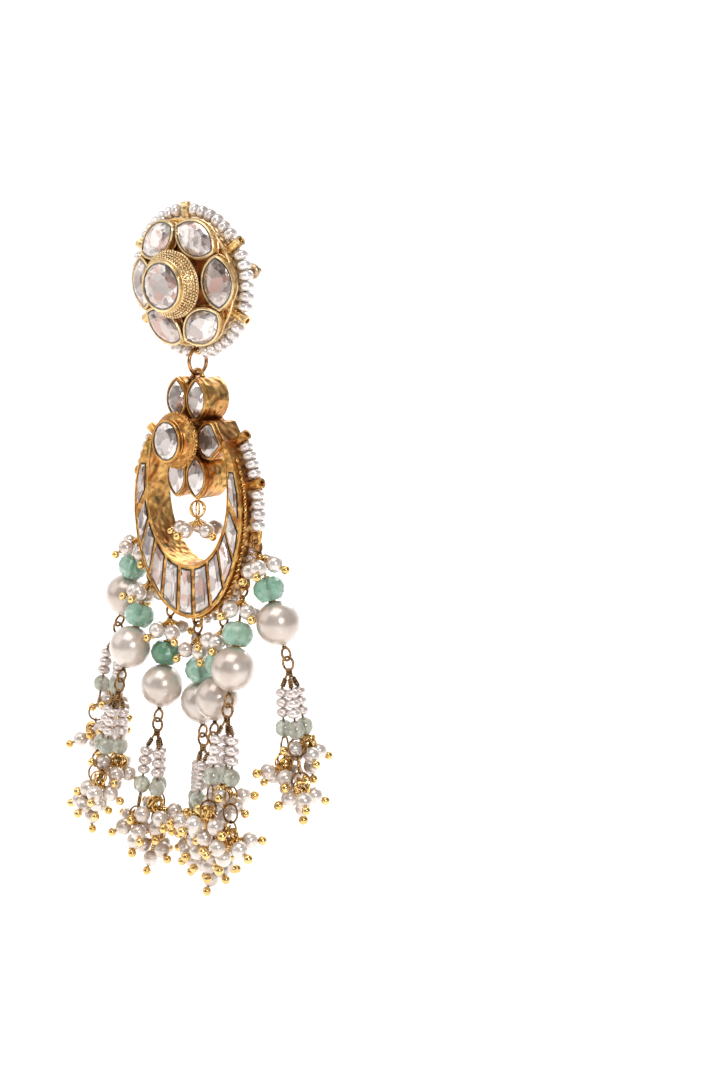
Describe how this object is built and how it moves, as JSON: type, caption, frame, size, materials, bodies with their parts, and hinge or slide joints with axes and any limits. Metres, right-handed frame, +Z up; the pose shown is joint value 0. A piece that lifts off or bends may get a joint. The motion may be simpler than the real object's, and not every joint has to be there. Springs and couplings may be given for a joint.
{
  "type": "chandbali earring",
  "caption": "Drop earring with a stone and pearl rosette stud, a jump ring, and a jewelled crescent pendant hung with beaded pearl drops and tassels.",
  "frame": {"origin": "middle of the stud's back face, where it rests on the ear lobe", "axes": "+Z up as worn, the front faces -Y, +X to the viewer's right"},
  "size_m": [0.0518, 0.028, 0.1076],
  "materials": {
    "polished_gold": "hammered, gilt, with rust-brown recesses",
    "post_gold": "polished",
    "nut_metal": "satin",
    "copper_wire": "polished",
    "antique_gold": "antiqued, hammered, with dark and olive tarnish",
    "bronze_wire": "polished, darkened",
    "bright_wire": "polished",
    "clear_stone": "foil-backed, polished facets",
    "smoky_stone": "foil-backed, smoky, polished facets",
    "jade_bead": "translucent, faceted",
    "pale_green": "translucent",
    "drop_pearl": "pearly, warm ivory",
    "small_pearl": "pearly, cool white",
    "ring_pearl": "pearly, cool white",
    "thread": "matte"
  },
  "bodies": {
    "rosette": {"rosette_frame": "polished_gold", "ear_post": "post_gold", "ear_nut": "nut_metal", "rosette_centre_stone": "clear_stone", "petal_stone_1": "clear_stone", "petal_stone_2": "clear_stone", "petal_stone_3": "clear_stone", "petal_stone_4": "clear_stone", "petal_stone_5": "clear_stone", "petal_stone_6": "clear_stone", "rosette_pearls": "ring_pearl", "rosette_thread": "thread"},
    "link": {"jump_ring": "copper_wire"},
    "pendant": {"chand_frame": "antique_gold", "chand_centre_stone": "clear_stone", "top_stone_left": "clear_stone", "top_stone_right": "clear_stone", "pear_stone_left": "smoky_stone", "pear_stone_right": "smoky_stone", "low_stone_left": "clear_stone", "low_stone_right": "clear_stone", "crescent_stones": "smoky_stone", "edge_pearls_left": "ring_pearl", "edge_pearls_right": "ring_pearl", "edge_thread_left": "thread", "edge_thread_right": "thread", "drop_pin_1": "bronze_wire", "drop_pin_2": "bronze_wire", "drop_pin_3": "bronze_wire", "drop_pin_4": "bronze_wire", "drop_pin_5": "bronze_wire", "drop_pin_6": "bronze_wire", "drop_pin_7": "bronze_wire", "green_bead_1": "jade_bead", "green_bead_2": "jade_bead", "green_bead_3": "jade_bead", "green_bead_4": "jade_bead", "green_bead_5": "jade_bead", "green_bead_6": "jade_bead", "green_bead_7": "jade_bead", "large_pearl_1": "drop_pearl", "large_pearl_2": "drop_pearl", "large_pearl_3": "drop_pearl", "large_pearl_4": "drop_pearl", "large_pearl_5": "drop_pearl", "large_pearl_6": "drop_pearl", "large_pearl_7": "drop_pearl", "tassel_1": "bright_wire", "tassel_2": "bright_wire", "tassel_3": "bright_wire", "tassel_4": "bright_wire", "tassel_5": "bright_wire", "tassel_6": "bright_wire", "tassel_7": "bright_wire", "head_pearls": "small_pearl", "pale_beads": "pale_green", "tassel_pearls": "small_pearl", "inner_drop_wire": "bright_wire", "inner_drop_pearls": "small_pearl"}
  },
  "joints": [
    {"name": "link_swing", "type": "hinge", "parent": "rosette", "child": "link", "pos_m": [0, 0.00002, -0.01168], "axis": [1, 0, 0], "range_deg": [-35, 35]},
    {"name": "pendant_sway", "type": "hinge", "parent": "link", "child": "pendant", "pos_m": [0, 0.00002, -0.01506], "axis": [0, 1, 0], "range_deg": [-30, 30]}
  ]
}
